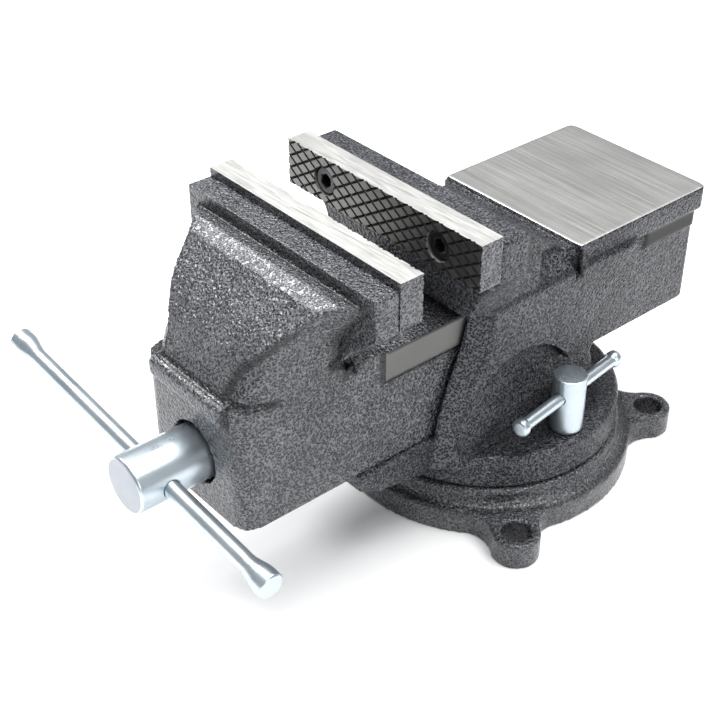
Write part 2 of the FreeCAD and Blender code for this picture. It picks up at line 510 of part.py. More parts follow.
save("thrust_washer", washer(SCREW_R + LOOSE_FIT, HEAD_R - 0.3, on_axis(HEAD_SEAT_Y), AXIS, WASHER_THICK))
save("spring_seat_washer", washer(SCREW_R + LOOSE_FIT, HEAD_R + 3.0, on_axis(SLIDE_CAVITY_Y), AXIS, WASHER_THICK))
save("retaining_washer", washer(SCREW_R + RUN_FIT, HEAD_R + 1.0, on_axis(COLLAR_Y), AXIS, WASHER_THICK))

pin_half = SCREW_R + 4.0
pin = rod(PIN_R, on_axis(PIN_Y) + Vec(0, 0, -pin_half), Vec(0, 0, 1), 2 * pin_half)
pin_eye = Part.makeTorus(PIN_R + 1.0, 1.0, on_axis(PIN_Y) + Vec(0, 0, pin_half + PIN_R), Vec(0, 1, 0))
save("split_pin", fused([pin, pin_eye]))

pitch = (SPRING_LENGTH - 2 * SPRING_WIRE_R) / SPRING_TURNS
coil_path = Part.Wire(Part.makeHelix(pitch, SPRING_LENGTH - 2 * SPRING_WIRE_R, SPRING_R))
coil_section = Part.Wire(Part.makeCircle(SPRING_WIRE_R, Vec(SPRING_R, 0, 0), Vec(0, 1, 0)))
spring = coil_path.makePipeShell([coil_section], True, True)
spring.Placement = FreeCAD.Placement(on_axis(SPRING_START_Y + SPRING_WIRE_R), FreeCAD.Rotation(Vec(0, 0, 1), AXIS))
save("screw_spring", spring)

# ---- nut for the lead screw, bolted to the housing floor ----------------------------------------------
nut_top = SCREW_AXIS_Z + SCREW_R + 7.0
nut = block(-NUT_HALF, NUT_HALF, NUT_FRONT_Y, NUT_FRONT_Y + NUT_LENGTH, CHANNEL_FLOOR, nut_top)
nut = rounded(nut, 6.0, lambda c: abs(c.z - nut_top) < 0.1 and abs(c.x) > 1)
nut = nut.cut(rod(SCREW_R + RUN_FIT, on_axis(NUT_FRONT_Y - 1), AXIS, NUT_LENGTH + 2))
nut = nut.cut(rod(NUT_BOLT_R + RUN_FIT, Vec(0, NUT_MID_Y, CHANNEL_FLOOR - 1), Vec(0, 0, 1), NUT_BOLT_REACH))
save("screw_nut", nut)

bolt_seat_z = TURNTABLE_BOTTOM + NUT_BOLT_HEAD + WASHER_THICK + 1.0
bolt_foot = Vec(0, NUT_MID_Y, bolt_seat_z - WASHER_THICK - NUT_BOLT_HEAD)
bolt_length = CHANNEL_FLOOR + NUT_BOLT_REACH - 3.0 - bolt_foot.z
nut_bolt = fused([rod(NUT_BOLT_HEAD_R, bolt_foot, Vec(0, 0, 1), NUT_BOLT_HEAD),
                  rod(NUT_BOLT_R, bolt_foot, Vec(0, 0, 1), bolt_length)])
save("nut_bolt", nut_bolt.cut(hexagon(8.0, bolt_foot, Vec(0, 0, 1), NUT_BOLT_HEAD / 2)))
save("nut_bolt_washer", washer(NUT_BOLT_R + LOOSE_FIT / 2, NUT_BOLT_HEAD_R + 1.0,
                               Vec(0, NUT_MID_Y, bolt_seat_z - WASHER_THICK), Vec(0, 0, 1), WASHER_THICK))

# ---- swivel locks: T bolts, tall nuts and their sliding bars ----------------------------------
NUT_FOOT_Z = TURNTABLE_TOP + FACE_FIT
LOCK_BOLT_END = LOCK_BAR_Z - LOCK_BAR_R - 2.0
LOCK_HEAD_Z = SLOT_FLOOR + 0.4
BAR_CAP_R = 4.25
BAR_CAP_LENGTH = 4.0


def lock_bolt(x):
    """Square head in the base's T slot, shank up through the turntable."""
    half = LOCK_HEAD_SIZE / 2
    head = block(x - half, x + half, -half, half, LOCK_HEAD_Z, LOCK_HEAD_Z + LOCK_HEAD_THICK)
    shank = rod(LOCK_BOLT_R, Vec(x, 0, LOCK_HEAD_Z), Vec(0, 0, 1), LOCK_BOLT_END - LOCK_HEAD_Z)
    return fused([head, shank])


def lock_nut(x):
    """Tall round nut, rounded off at its foot, drilled across for its bar."""
    profile = [(0, 0), (LOCK_NUT_R - 1.5, 0), (LOCK_NUT_R - 0.5, 0.7), (LOCK_NUT_R, 2.0),
               (LOCK_NUT_R, LOCK_NUT_HEIGHT - 0.6), (LOCK_NUT_R - 0.6, LOCK_NUT_HEIGHT), (0, LOCK_NUT_HEIGHT)]
    body = turned(profile, Vec(x, 0, NUT_FOOT_Z), Vec(0, 0, 1))
    thread = rod(LOCK_BOLT_R + RUN_FIT, Vec(x, 0, NUT_FOOT_Z - 1), Vec(0, 0, 1), LOCK_BOLT_END - NUT_FOOT_Z + 1.6)
    across = bar_direction(x)
    hole = rod(LOCK_BAR_R + SLIDE_FIT, Vec(x, 0, LOCK_BAR_Z) - across * 15, across, 30.0)
    return body.cut(thread).cut(hole)


def bar_direction(x):
    """Which way a lock bar points: nearly along Y, its rear end leaning inwards."""
    side = 1 if x > 0 else -1
    lean = math.radians(LOCK_BAR_TURN)
    return Vec(-side * math.sin(lean), math.cos(lean), 0)


def lock_bar(x):
    """Thin bar with upset ends that slides through a lock nut."""
    half = LOCK_BAR_LENGTH / 2
    neck = half - BAR_CAP_LENGTH
    profile = [(0, -half), (BAR_CAP_R - 0.6, -half), (BAR_CAP_R, -half + 0.8), (BAR_CAP_R, -neck - 1.2),
               (LOCK_BAR_R, -neck), (LOCK_BAR_R, neck), (BAR_CAP_R, neck + 1.2), (BAR_CAP_R, half - 0.8),
               (BAR_CAP_R - 0.6, half), (0, half)]
    return turned(profile, Vec(x, 0, LOCK_BAR_Z), bar_direction(x))


save("lock_bolts", [lock_bolt(x) for x in (-LOCK_X, LOCK_X)])
save("lock_nut_right", lock_nut(LOCK_X))
save("lock_nut_left", lock_nut(-LOCK_X))
save("lock_bar_right", lock_bar(LOCK_X))
save("lock_bar_left", lock_bar(-LOCK_X))
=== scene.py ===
import bpy
import bmesh
import math
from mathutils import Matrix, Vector
from mathutils.bvhtree import BVHTree
from mathutils.kdtree import KDTree


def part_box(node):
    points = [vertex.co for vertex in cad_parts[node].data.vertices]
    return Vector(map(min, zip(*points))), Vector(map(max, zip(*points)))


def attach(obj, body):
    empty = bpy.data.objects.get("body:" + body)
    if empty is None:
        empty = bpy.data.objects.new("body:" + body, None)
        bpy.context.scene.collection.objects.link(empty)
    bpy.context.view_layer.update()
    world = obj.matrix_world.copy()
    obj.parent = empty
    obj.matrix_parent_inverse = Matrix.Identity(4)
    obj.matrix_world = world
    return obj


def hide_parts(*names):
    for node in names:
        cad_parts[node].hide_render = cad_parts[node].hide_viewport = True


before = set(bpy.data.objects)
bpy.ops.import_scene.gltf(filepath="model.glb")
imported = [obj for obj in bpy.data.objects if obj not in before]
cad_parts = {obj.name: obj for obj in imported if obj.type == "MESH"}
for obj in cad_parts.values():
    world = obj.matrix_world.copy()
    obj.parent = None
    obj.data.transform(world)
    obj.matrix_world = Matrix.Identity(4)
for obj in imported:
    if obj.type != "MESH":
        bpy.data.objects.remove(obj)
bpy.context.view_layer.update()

MM = 0.001

# ---------------------------------------------------------------------------------------
# Studio: a pale table under a large overhead softbox, with a strip light on the left and
# a weak softbox on the right. The camera looks down along the screw from the handle's right.
floor_mesh = bpy.data.meshes.new("table_top")
floor_mesh.from_pydata([(-4, -4, 0), (4, -4, 0), (4, 4, 0), (-4, 4, 0)], [], [(0, 1, 2, 3)])
floor = bpy.data.objects.new("table_top", floor_mesh)
bpy.context.collection.objects.link(floor)
floor_paint = bpy.data.materials.new("white table")
floor_paint.use_nodes = True
floor_paint.node_tree.nodes["Principled BSDF"].inputs["Base Color"].default_value = (0.97, 0.97, 0.97, 1)
floor_paint.node_tree.nodes["Principled BSDF"].inputs["Roughness"].default_value = 0.9
floor_mesh.materials.append(floor_paint)

camera = bpy.data.objects.new("camera", bpy.data.cameras.new("camera"))
bpy.context.collection.objects.link(camera)
camera.data.sensor_width = 36
camera.data.lens = 71.7
camera.location = (0.405, -0.4246, 0.4611)
sight = Vector((0.0232, -0.1011, 0.1076)) - camera.location
camera.rotation_mode = "QUATERNION"
camera.rotation_quaternion = sight.to_track_quat("-Z", "Y")
bpy.context.scene.camera = camera

world = bpy.data.worlds.new("white room")
bpy.context.scene.world = world
world.use_nodes = True
world.node_tree.nodes["Background"].inputs["Color"].default_value = (0.96, 0.98, 1.0, 1)
world.node_tree.nodes["Background"].inputs["Strength"].default_value = 0.42
bpy.context.scene.view_settings.view_transform = "Standard"


def softbox(name, place, aim, width, power):
    """A square softbox that faces the vise."""
    lamp = bpy.data.objects.new(name, bpy.data.lights.new(name, "AREA"))
    bpy.context.collection.objects.link(lamp)
    lamp.data.size = width
    lamp.data.energy = power
    lamp.location = place
    lamp.rotation_mode = "QUATERNION"
    lamp.rotation_quaternion = (Vector(aim) - Vector(place)).to_track_quat("-Z", "Y")


softbox("overhead softbox", (0.15, 0.12, 1.4), (0, -0.05, 0.1), 1.3, 33)
softbox("left strip", (-0.85, -0.20, 1.1), (0, -0.1, 0.15), 0.5, 15)
softbox("right softbox", (1.3, -0.3, 0.6), (0, -0.1, 0.1), 0.6, 4)

# ---------------------------------------------------------------------------------------
# Swivel base: grey iron poured in sand, four bolting lugs, a ring that carries the
# turntable. Sprayed all over in dark hammertone enamel, which beads up as it dries.


def shader_group(name, inputs, outputs):
    """An empty shader node group with named sockets, and its two ends."""
    group = bpy.data.node_groups.new(name, "ShaderNodeTree")
    for label, kind, value in inputs:
        socket = group.interface.new_socket(name=label, in_out="INPUT", socket_type=kind)
        if value is not None:
            socket.default_value = value
    for label, kind in outputs:
        group.interface.new_socket(name=label, in_out="OUTPUT", socket_type=kind)
    return group, group.nodes.new("NodeGroupInput"), group.nodes.new("NodeGroupOutput")


def math_node(tree, operation, first, second=None, third=None, clamp=False):
    """One Math node, fed by sockets or plain numbers; gives its output socket."""
    node = tree.nodes.new("ShaderNodeMath")
    node.operation = operation
    node.use_clamp = clamp
    for socket, value in zip(node.inputs, (first, second, third)):
        if isinstance(value, bpy.types.NodeSocket):
            tree.links.new(value, socket)
        elif value is not None:
            socket.default_value = value
    return node.outputs[0]


def ramp(tree, source, stops):
    """A colour ramp over a value; stops are (place, grey or colour)."""
    node = tree.nodes.new("ShaderNodeValToRGB")
    tree.links.new(source, node.inputs[0])
    while len(node.color_ramp.elements) < len(stops):
        node.color_ramp.elements.new(0.5)
    for element, (place, colour) in zip(node.color_ramp.elements, stops):
        element.position = place
        element.color = (colour, colour, colour, 1) if isinstance(colour, float) else (*colour, 1)
    return node.outputs[0]


def mixed(tree, amount, first, second):
    """A colour mix of two sockets or colours."""
    node = tree.nodes.new("ShaderNodeMix")
    node.data_type = "RGBA"
    for socket, value in ((node.inputs["Factor"], amount), (node.inputs[6], first), (node.inputs[7], second)):
        if isinstance(value, bpy.types.NodeSocket):
            tree.links.new(value, socket)
        else:
            socket.default_value = value if isinstance(value, float) else (*value, 1)
    return node.outputs[2]


def noise(tree, place, scale, detail=2.0, rough=0.5):
    """A noise texture's value over the given coordinates."""
    node = tree.nodes.new("ShaderNodeTexNoise")
    node.inputs["Scale"].default_value = scale
    node.inputs["Detail"].default_value = detail
    node.inputs["Roughness"].default_value = rough
    tree.links.new(place, node.inputs["Vector"])
    return node.outputs["Fac"]


def hammertone_group():
    """Beaded enamel: a fine silver net over charcoal, dimpled like hammered metal, in slow drifts."""
    group, start, end = shader_group(
        "hammertone", [("Vector", "NodeSocketVector", None), ("Bead", "NodeSocketFloat", 1.0)],
        [("Color", "NodeSocketColor"), ("Roughness", "NodeSocketFloat"), ("Height", "NodeSocketFloat")])
    warp = group.nodes.new("ShaderNodeTexNoise")
    warp.inputs["Scale"].default_value = 600
    warp.inputs["Detail"].default_value = 2.0
    group.links.new(start.outputs["Vector"], warp.inputs["Vector"])
    push = group.nodes.new("ShaderNodeVectorMath")
    push.operation = "MULTIPLY_ADD"
    group.links.new(warp.outputs["Color"], push.inputs[0])
    push.inputs[1].default_value = (1.6 * MM, 1.6 * MM, 1.6 * MM)
    group.links.new(start.outputs["Vector"], push.inputs[2])
    cells = []
    for scale in (520, 980):
        cell = group.nodes.new("ShaderNodeTexVoronoi")
        cell.feature = "SMOOTH_F1"
        cell.inputs["Smoothness"].default_value = 0.35
        cell.inputs["Scale"].default_value = scale
        group.links.new(push.outputs[0], cell.inputs["Vector"])
        cells.append(ramp(group, cell.outputs["Distance"], [(0.18, 0.0), (0.60, 1.0)]))
    dimple, net = cells
    fine = noise(group, push.outputs[0], 2000, 3.0, 0.65)
    slow = noise(group, start.outputs["Vector"], 40, 3.0)
    height = math_node(group, "MULTIPLY_ADD", net, 0.40, math_node(group, "MULTIPLY", dimple, 0.9))
    height = math_node(group, "MULTIPLY", height, start.outputs["Bead"])
    tone = math_node(group, "MULTIPLY_ADD", fine, 0.40, math_node(group, "MULTIPLY", net, 0.50))
    tone = math_node(group, "MULTIPLY_ADD", slow, 0.20, tone)
    colour = ramp(group, tone, [(0.30, (0.005, 0.0055, 0.008)), (0.50, (0.016, 0.017, 0.021)),
                                (0.68, (0.060, 0.062, 0.070)), (0.90, (0.17, 0.172, 0.185))])
    rough = ramp(group, fine, [(0.35, 0.17), (0.7, 0.36)])
    group.links.new(colour, end.inputs["Color"])
    group.links.new(rough, end.inputs["Roughness"])
    group.links.new(height, end.inputs["Height"])
    return group


def ground_group():
    """Ground steel: long hair lines along X, with a few deeper strokes and cloudy patches."""
    group, start, end = shader_group(
        "ground steel", [("Vector", "NodeSocketVector", None), ("Across", "NodeSocketFloat", 1400.0),
                         ("Along", "NodeSocketFloat", 14.0)],
        [("Color", "NodeSocketColor"), ("Roughness", "NodeSocketFloat"), ("Height", "NodeSocketFloat")])
    stretch = group.nodes.new("ShaderNodeCombineXYZ")
    group.links.new(start.outputs["Along"], stretch.inputs["X"])
    group.links.new(start.outputs["Across"], stretch.inputs["Y"])
    group.links.new(start.outputs["Across"], stretch.inputs["Z"])
    scaled = group.nodes.new("ShaderNodeVectorMath")
    scaled.operation = "MULTIPLY"
    group.links.new(start.outputs["Vector"], scaled.inputs[0])
    group.links.new(stretch.outputs[0], scaled.inputs[1])
    hair = noise(group, scaled.outputs[0], 1.0, 4.0, 0.7)
    cloud = noise(group, start.outputs["Vector"], 38, 4.0)
    tone = math_node(group, "MULTIPLY_ADD", cloud, 0.5, math_node(group, "MULTIPLY", hair, 0.6))
    colour = ramp(group, tone, [(0.3, (0.52, 0.515, 0.50)), (0.55, (0.62, 0.615, 0.60)),
                                (0.8, (0.72, 0.715, 0.70))])
    rough = ramp(group, hair, [(0.3, 0.36), (0.7, 0.50)])
    group.links.new(colour, end.inputs["Color"])
    group.links.new(rough, end.inputs["Roughness"])
    group.links.new(hair, end.inputs["Height"])
    return group


HAMMERTONE = hammertone_group()
GROUND = ground_group()


def placed(tree, group, **sizes):
    """A shared effect in a material, read over the piece's own coordinates."""
    node = tree.nodes.new("ShaderNodeGroup")
    node.node_tree = group
    where = tree.nodes.new("ShaderNodeTexCoord")
    tree.links.new(where.outputs["Object"], node.inputs["Vector"])
    for label, value in sizes.items():
        node.inputs[label].default_value = value
    return node


def bumped(tree, height, strength, depth):
    """A bump from a height, linked to the material's shader."""
    bump = tree.nodes.new("ShaderNodeBump")
    bump.inputs["Strength"].default_value = strength
    bump.inputs["Distance"].default_value = depth
    tree.links.new(height, bump.inputs["Height"])
    tree.links.new(bump.outputs[0], tree.nodes["Principled BSDF"].inputs["Normal"])


def between(tree, value, low, high):
    """One inside a range and nothing outside it."""
    return math_node(tree, "MULTIPLY", math_node(tree, "GREATER_THAN", value, low),
                     math_node(tree, "LESS_THAN", value, high))


def tinted(tree, colour, tint):
    """A colour darkened or warmed by a fixed tint."""
    node = tree.nodes.new("ShaderNodeMix")
    node.data_type = "RGBA"
    node.blend_type = "MULTIPLY"
    node.inputs["Factor"].default_value = 1.0
    node.inputs[7].default_value = (*tint, 1)
    tree.links.new(colour, node.inputs[6])
    return node.outputs[2]


def enamelled_iron(name, machined, dim=0.0, shine=0.5):
    """Hammertone enamel, left off where the casting was machined: boxes of |x|, y, z and a shade, the
    brightness of the bare steel there, set lower on side faces as painted shade.

    The enamel is mixed toward near-black by painted shade where the casting's occlusion attribute is high;
    dim darkens the whole coat with the same painted shade; shine is how strongly it mirrors."""
    material = bpy.data.materials.new(name)
    material.use_nodes = True
    tree = material.node_tree
    shader = tree.nodes["Principled BSDF"]
    paint = placed(tree, HAMMERTONE, Bead=1.0)
    # Painted shade: the paint colour is mixed toward near-black by the occlusion attribute, never less than
    # dim.
    corner = tree.nodes.new("ShaderNodeAttribute")
    corner.attribute_name = "painted_occlusion_shade"
    painted_shade_amount = ramp(tree, corner.outputs["Fac"], [(0.10, dim), (0.60, 0.88)])
    enamel = mixed(tree, painted_shade_amount, paint.outputs["Color"], (0.004, 0.0042, 0.006))
    steel = placed(tree, GROUND, Across=1100.0, Along=16.0)
    parts = tree.nodes.new("ShaderNodeSeparateXYZ")
    where = tree.nodes.new("ShaderNodeTexCoord")
    tree.links.new(where.outputs["Object"], parts.inputs[0])
    side = math_node(tree, "ABSOLUTE", parts.outputs["X"])
    bare = None
    shade = None
    for (x0, x1), (y0, y1), (z0, z1), grey in machined:
        inside = between(tree, side, x0, x1)
        inside = math_node(tree, "MULTIPLY", inside, between(tree, parts.outputs["Y"], y0, y1))
        inside = math_node(tree, "MULTIPLY", inside, between(tree, parts.outputs["Z"], z0, z1))
        bare = inside if bare is None else math_node(tree, "MAXIMUM", bare, inside)
        toned = math_node(tree, "MULTIPLY", inside, grey)
        shade = toned if shade is None else math_node(tree, "MAXIMUM", shade, toned)
    if bare is None:
        tree.links.new(enamel, shader.inputs["Base Color"])
        tree.links.new(paint.outputs["Roughness"], shader.inputs["Roughness"])
        bumped(tree, paint.outputs["Height"], 0.8, 0.0006)
        shader.inputs["Metallic"].default_value = 0.25
    else:
        # Bare steel darkened box by box, painted shade on its side faces.
        darkened = mixed(tree, shade, (0.0, 0.0, 0.0), steel.outputs["Color"])
        tree.links.new(mixed(tree, bare, enamel, darkened), shader.inputs["Base Color"])
        tree.links.new(mixed(tree, bare, paint.outputs["Roughness"], steel.outputs["Roughness"]),
                       shader.inputs["Roughness"])
        tree.links.new(math_node(tree, "MULTIPLY_ADD", bare, 0.7, 0.25), shader.inputs["Metallic"])
        keep = math_node(tree, "SUBTRACT", 1.0, bare)
        height = math_node(tree, "MULTIPLY", paint.outputs["Height"], keep)
        height = math_node(tree, "MULTIPLY_ADD", steel.outputs["Height"],
                           math_node(tree, "MULTIPLY", bare, 0.05), height)
        bumped(tree, height, 0.8, 0.0006)
    shader.inputs["Specular IOR Level"].default_value = shine
    shader.inputs["Coat Roughness"].default_value = 0.15
    shader.inputs["Coat Weight"].default_value = 0.3 * shine
    return material


def inner_corners(skin):
    """Points every millimetre along the sharp inner corners of a casting, where painted shade is laid."""
    found = []
    for edge in skin.edges:
        if len(edge.link_faces) == 2 and edge.calc_face_angle_signed(0.0) < -0.5:
            first, last = edge.verts[0].co, edge.verts[1].co
            count = int((last - first).length / MM) + 1
            found += [first.lerp(last, k / count) for k in range(count + 1)]
    near = KDTree(max(1, len(found)))
    for number, point in enumerate(found):
        near.insert(point, number)
    near.balance()
    return near


def painted_occlusion_shade(mesh, corners, corner_shade):
    """How much painted shade each point of a casting gets, from open (0) to deep in a corner (1), as an
    attribute.

    Each point looks ten ways for iron close by, an occlusion painted as shade; the third argument is the
    strength of the painted shade along the inner corners."""
    far, near = 30 * MM, 4 * MM
    look_count = 10
    widest = 0.85
    golden_turn = 2.39996
    near_weight = 0.8
    corner_shade_reach, corner_shade_fade = 2.8 * MM, 1.6 * MM
    tree = BVHTree.FromPolygons([v.co for v in mesh.vertices], [tuple(f.vertices) for f in mesh.polygons])
    looks = []
    for k in range(look_count):
        up = 1 - (k + 0.5) / look_count * widest
        out = math.sqrt(1 - up * up)
        turn = k * golden_turn
        looks.append(Vector((out * math.cos(turn), out * math.sin(turn), up)))
    values = []
    for vert in mesh.vertices:
        normal = vert.normal
        spin = normal.to_track_quat("Z", "Y").to_matrix()
        start = vert.co + normal * 0.6 * MM
        hits = 0.0
        for look in looks:
            found = tree.ray_cast(start, spin @ look, far)
            if found[0] is not None:
                hits += 1 - 0.5 * found[3] / far + (near_weight if found[3] < near else 0.0)
        # Painted shade along the inner corners, fading out within a few millimetres; the darker of this and
        # the occlusion is kept.
        away = corners.find(vert.co)[2]
        painted_shade_amount = 0.0 if away is None else min(1.0, max(0.0, (corner_shade_reach - away) / corner_shade_fade))
        values.append(min(1.0, max(corner_shade * painted_shade_amount, hits / len(looks))))
    layer = mesh.attributes.new("painted_occlusion_shade", "FLOAT", "POINT")
    layer.data.foreach_set("value", values)


def casting(node, body, grain, rounds, keep, material, corner_shade, dents=()):
    """A casting with the eased edges and hollow corners that a sand mould leaves, with painted shade in its
    hollows and inner corners.

    Dents are leaf-shaped hollows in both flanks: middle y and z, half length, half height, depth."""
    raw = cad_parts[node].data.copy()
    skin = bmesh.new()
    skin.from_mesh(raw)
    bmesh.ops.remove_doubles(skin, verts=skin.verts, dist=1e-6)
    corners = inner_corners(skin)
    skin.to_mesh(raw)
    skin.free()
    piece = bpy.data.objects.new(node + "_casting", raw)
    bpy.context.collection.objects.link(piece)
    remesh = piece.modifiers.new("grain", "REMESH")
    remesh.mode = "VOXEL"
    remesh.voxel_size = grain
    ease = piece.modifiers.new("ease", "SMOOTH")
    ease.factor = 0.5
    ease.iterations = rounds
    thin = piece.modifiers.new("thin", "DECIMATE")
    thin.ratio = keep
    depsgraph = bpy.context.evaluated_depsgraph_get()
    mesh = bpy.data.meshes.new_from_object(piece.evaluated_get(depsgraph))
    piece.modifiers.clear()
    piece.data = mesh
    for y, z, long, tall, deep in dents:
        for vert in mesh.vertices:
            along, up = (vert.co.y - y) / long, (vert.co.z - z) / tall
            if abs(along) < 1 and abs(vert.co.x) > 30 * MM and abs(up) < 1 - along * along:
                rim = 1 - along * along - abs(up)
                vert.co.x -= math.copysign(deep * min(1.0, 1.6 * rim), vert.co.x)
    mesh.materials.clear()
    mesh.materials.append(material)
    for face in mesh.polygons:
        face.use_smooth = True
    painted_occlusion_shade(mesh, corners, corner_shade)
    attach(piece, body)
    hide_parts(node)


# Painted shade: dim darkens the base's whole coat, and its hollows and inner corners are darker still.
base_enamel = enamelled_iron("base hammertone enamel", [], dim=0.25, shine=0.6)
casting("swivel_base", "base", grain=1 * MM, rounds=3, keep=0.75, material=base_enamel, corner_shade=0.45)

# ---------------------------------------------------------------------------------------
# Vise body: one iron casting with turntable, housing, fixed jaw and anvil. The anvil's
# top and a strip on each flank are milled bare; the rest is enamelled.
# The last number of each machined box is how bright the bare steel shows: the flank pad under the anvil is
# set near black as painted shade.
anvil_top = 130.3 * MM
anvil_face = ((-1, 1), (11.2 * MM, 200 * MM), (anvil_top - 0.25 * MM, anvil_top + 10 * MM), 0.75)
flank_pad = ((41.6 * MM, 44 * MM), (60 * MM, 97.2 * MM), (108.8 * MM, 117.8 * MM), 0.05)
# Painted shade: dim darkens the body's whole coat, and its hollows and inner corners are darker still.
body_enamel = enamelled_iron("body hammertone enamel", [anvil_face, flank_pad], dim=0.22, shine=0.18)
casting("static_jaw_body", "vise_body", grain=1 * MM, rounds=4, keep=0.55, material=body_enamel, corner_shade=0.42)

# ---------------------------------------------------------------------------------------
# Moving jaw: iron casting with a hollow square slide, a domed shield and the front jaw.
# The slide's rails are milled bare where they run in the housing.
# The rails' last number, 0.20, darkens their bare side faces: painted shade.
slide_rail = ((35.2 * MM, 40 * MM), (-97 * MM, 70 * MM), (100.4 * MM, 117 * MM), 0.20)
flank_dimple = (-116.5 * MM, 123.8 * MM, 13 * MM, 8 * MM, 4 * MM)
# Painted shade in the jaw's hollows and, strongly, along its inner corners.
jaw_enamel = enamelled_iron("moving jaw hammertone enamel", [slide_rail])
casting("moving_jaw_body", "moving_jaw", grain=1 * MM, rounds=2, keep=0.55, material=jaw_enamel, corner_shade=0.66,
        dents=[flank_dimple])

# ---------------------------------------------------------------------------------------
# Jaw plates: hardened steel bars with crossed V grooves milled over the gripping face.
# Their tops are ground bright, the grooved face is dark with painted shade on its groove walls, and paint
# covers ends and back.
GROOVE_PITCH = 5.0 * MM
GROOVE_HALF = 0.62 * MM
GROOVE_DEPTH = 0.65 * MM
GROOVE_ANGLE = 32.0
TOUCHING = 1e-5


def metal(name, group, bump, depth, metallic=1.0, tint=None, **sizes):
    """A bare or plated metal finished by one of the shared effects, with a bump of the given depth."""
    material = bpy.data.materials.new(name)
    material.use_nodes = True
    tree = material.node_tree
    shader = tree.nodes["Principled BSDF"]
    finish = placed(tree, group, **sizes)
    colour = finish.outputs["Color"]
    if tint is not None:
        colour = tinted(tree, colour, tint)
    tree.links.new(colour, shader.inputs["Base Color"])
    tree.links.new(finish.outputs["Roughness"], shader.inputs["Roughness"])
    shader.inputs["Metallic"].default_value = metallic
    bumped(tree, finish.outputs["Height"], bump, depth)
    return material


ground_steel = metal("ground plate top", GROUND, 0.12, 0.00005, tint=(1.2, 1.2, 1.19),
                     Across=900.0, Along=60.0)
land_steel = metal("dark hardened steel", GROUND, 0.5, 0.0002, tint=(0.26, 0.26, 0.255),
                   Across=420.0, Along=160.0)
# Painted shade: the groove walls are a near-black copy of the face's hardened steel.
groove_painted_shade = metal("groove walls in painted shade", GROUND, 0.3, 0.0001, tint=(0.05, 0.05, 0.05),
                     Across=420.0, Along=160.0)
plate_enamel = enamelled_iron("plate end enamel", [])


def grooved_plate(node, body, facing):
    """A jaw plate: the plain plate cut along both groove families, then pressed in along them."""
    low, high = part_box(node)
    face_y = low.y if facing < 0 else high.y
    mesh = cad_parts[node].data.copy()
    steel = bmesh.new()
    steel.from_mesh(mesh)
    bmesh.ops.remove_doubles(steel, verts=steel.verts, dist=1e-6)
    middle = Vector(((low.x + high.x) / 2, face_y, (low.z + high.z) / 2))
    families = []
    for lean in (GROOVE_ANGLE, -GROOVE_ANGLE):
        across = Vector((-math.sin(math.radians(lean)), 0, math.cos(math.radians(lean))))
        families.append(across)
        reach = abs(across.x) * (high.x - low.x) / 2 + abs(across.z) * (high.z - low.z) / 2
        count = int(reach / GROOVE_PITCH) + 1
        for k in range(-count, count + 1):
            for shift in (-GROOVE_HALF, 0.0, GROOVE_HALF):
                point = middle + across * (k * GROOVE_PITCH + shift)
                front = [f for f in steel.faces if abs(f.calc_center_median().y - face_y) < TOUCHING
                         and abs(f.normal.y) > 0.9]
                edges = list({e for f in front for e in f.edges})
                verts = list({v for f in front for v in f.verts})
                bmesh.ops.bisect_plane(steel, geom=verts + edges + front, plane_co=point, plane_no=across,
                                       dist=1e-7)
    for vert in steel.verts:
        if abs(vert.co.y - face_y) > 1e-6:
            continue
        deepest = 0.0
        for across in families:
            away = (vert.co - middle).dot(across)
            away = abs(away - round(away / GROOVE_PITCH) * GROOVE_PITCH)
            deepest = max(deepest, 1 - away / GROOVE_HALF)
        vert.co.y -= facing * GROOVE_DEPTH * deepest
    steel.to_mesh(mesh)
    steel.free()
    mesh.materials.clear()
    for material in (ground_steel, land_steel, plate_enamel, groove_painted_shade):
        mesh.materials.append(material)
    for face in mesh.polygons:
        toward = face.normal.y * facing
        if abs(face.center.x) > (high.x - low.x) / 2 - TOUCHING:
            face.material_index = 2
        elif toward < -0.5:
            face.material_index = 2
        # Flat lands take the dark steel; the tilted groove walls take its near-black copy, painted shade.
        elif toward > 0.3 and abs(face.center.y - face_y) < 2 * GROOVE_DEPTH:
            face.material_index = 1 if toward > 0.97 else 3
        else:
            face.material_index = 0
    plate = bpy.data.objects.new(node + "_grooved", mesh)
    bpy.context.collection.objects.link(plate)
    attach(plate, body)
    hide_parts(node)


grooved_plate("fixed_jaw_plate", "vise_body", -1)
grooved_plate("moving_jaw_plate", "moving_jaw", 1)

# ---------------------------------------------------------------------------------------
# Socket head screws: M8, black oxide, two through each plate into its casting. The same
# black finish is on the bolt that holds the lead screw's nut.


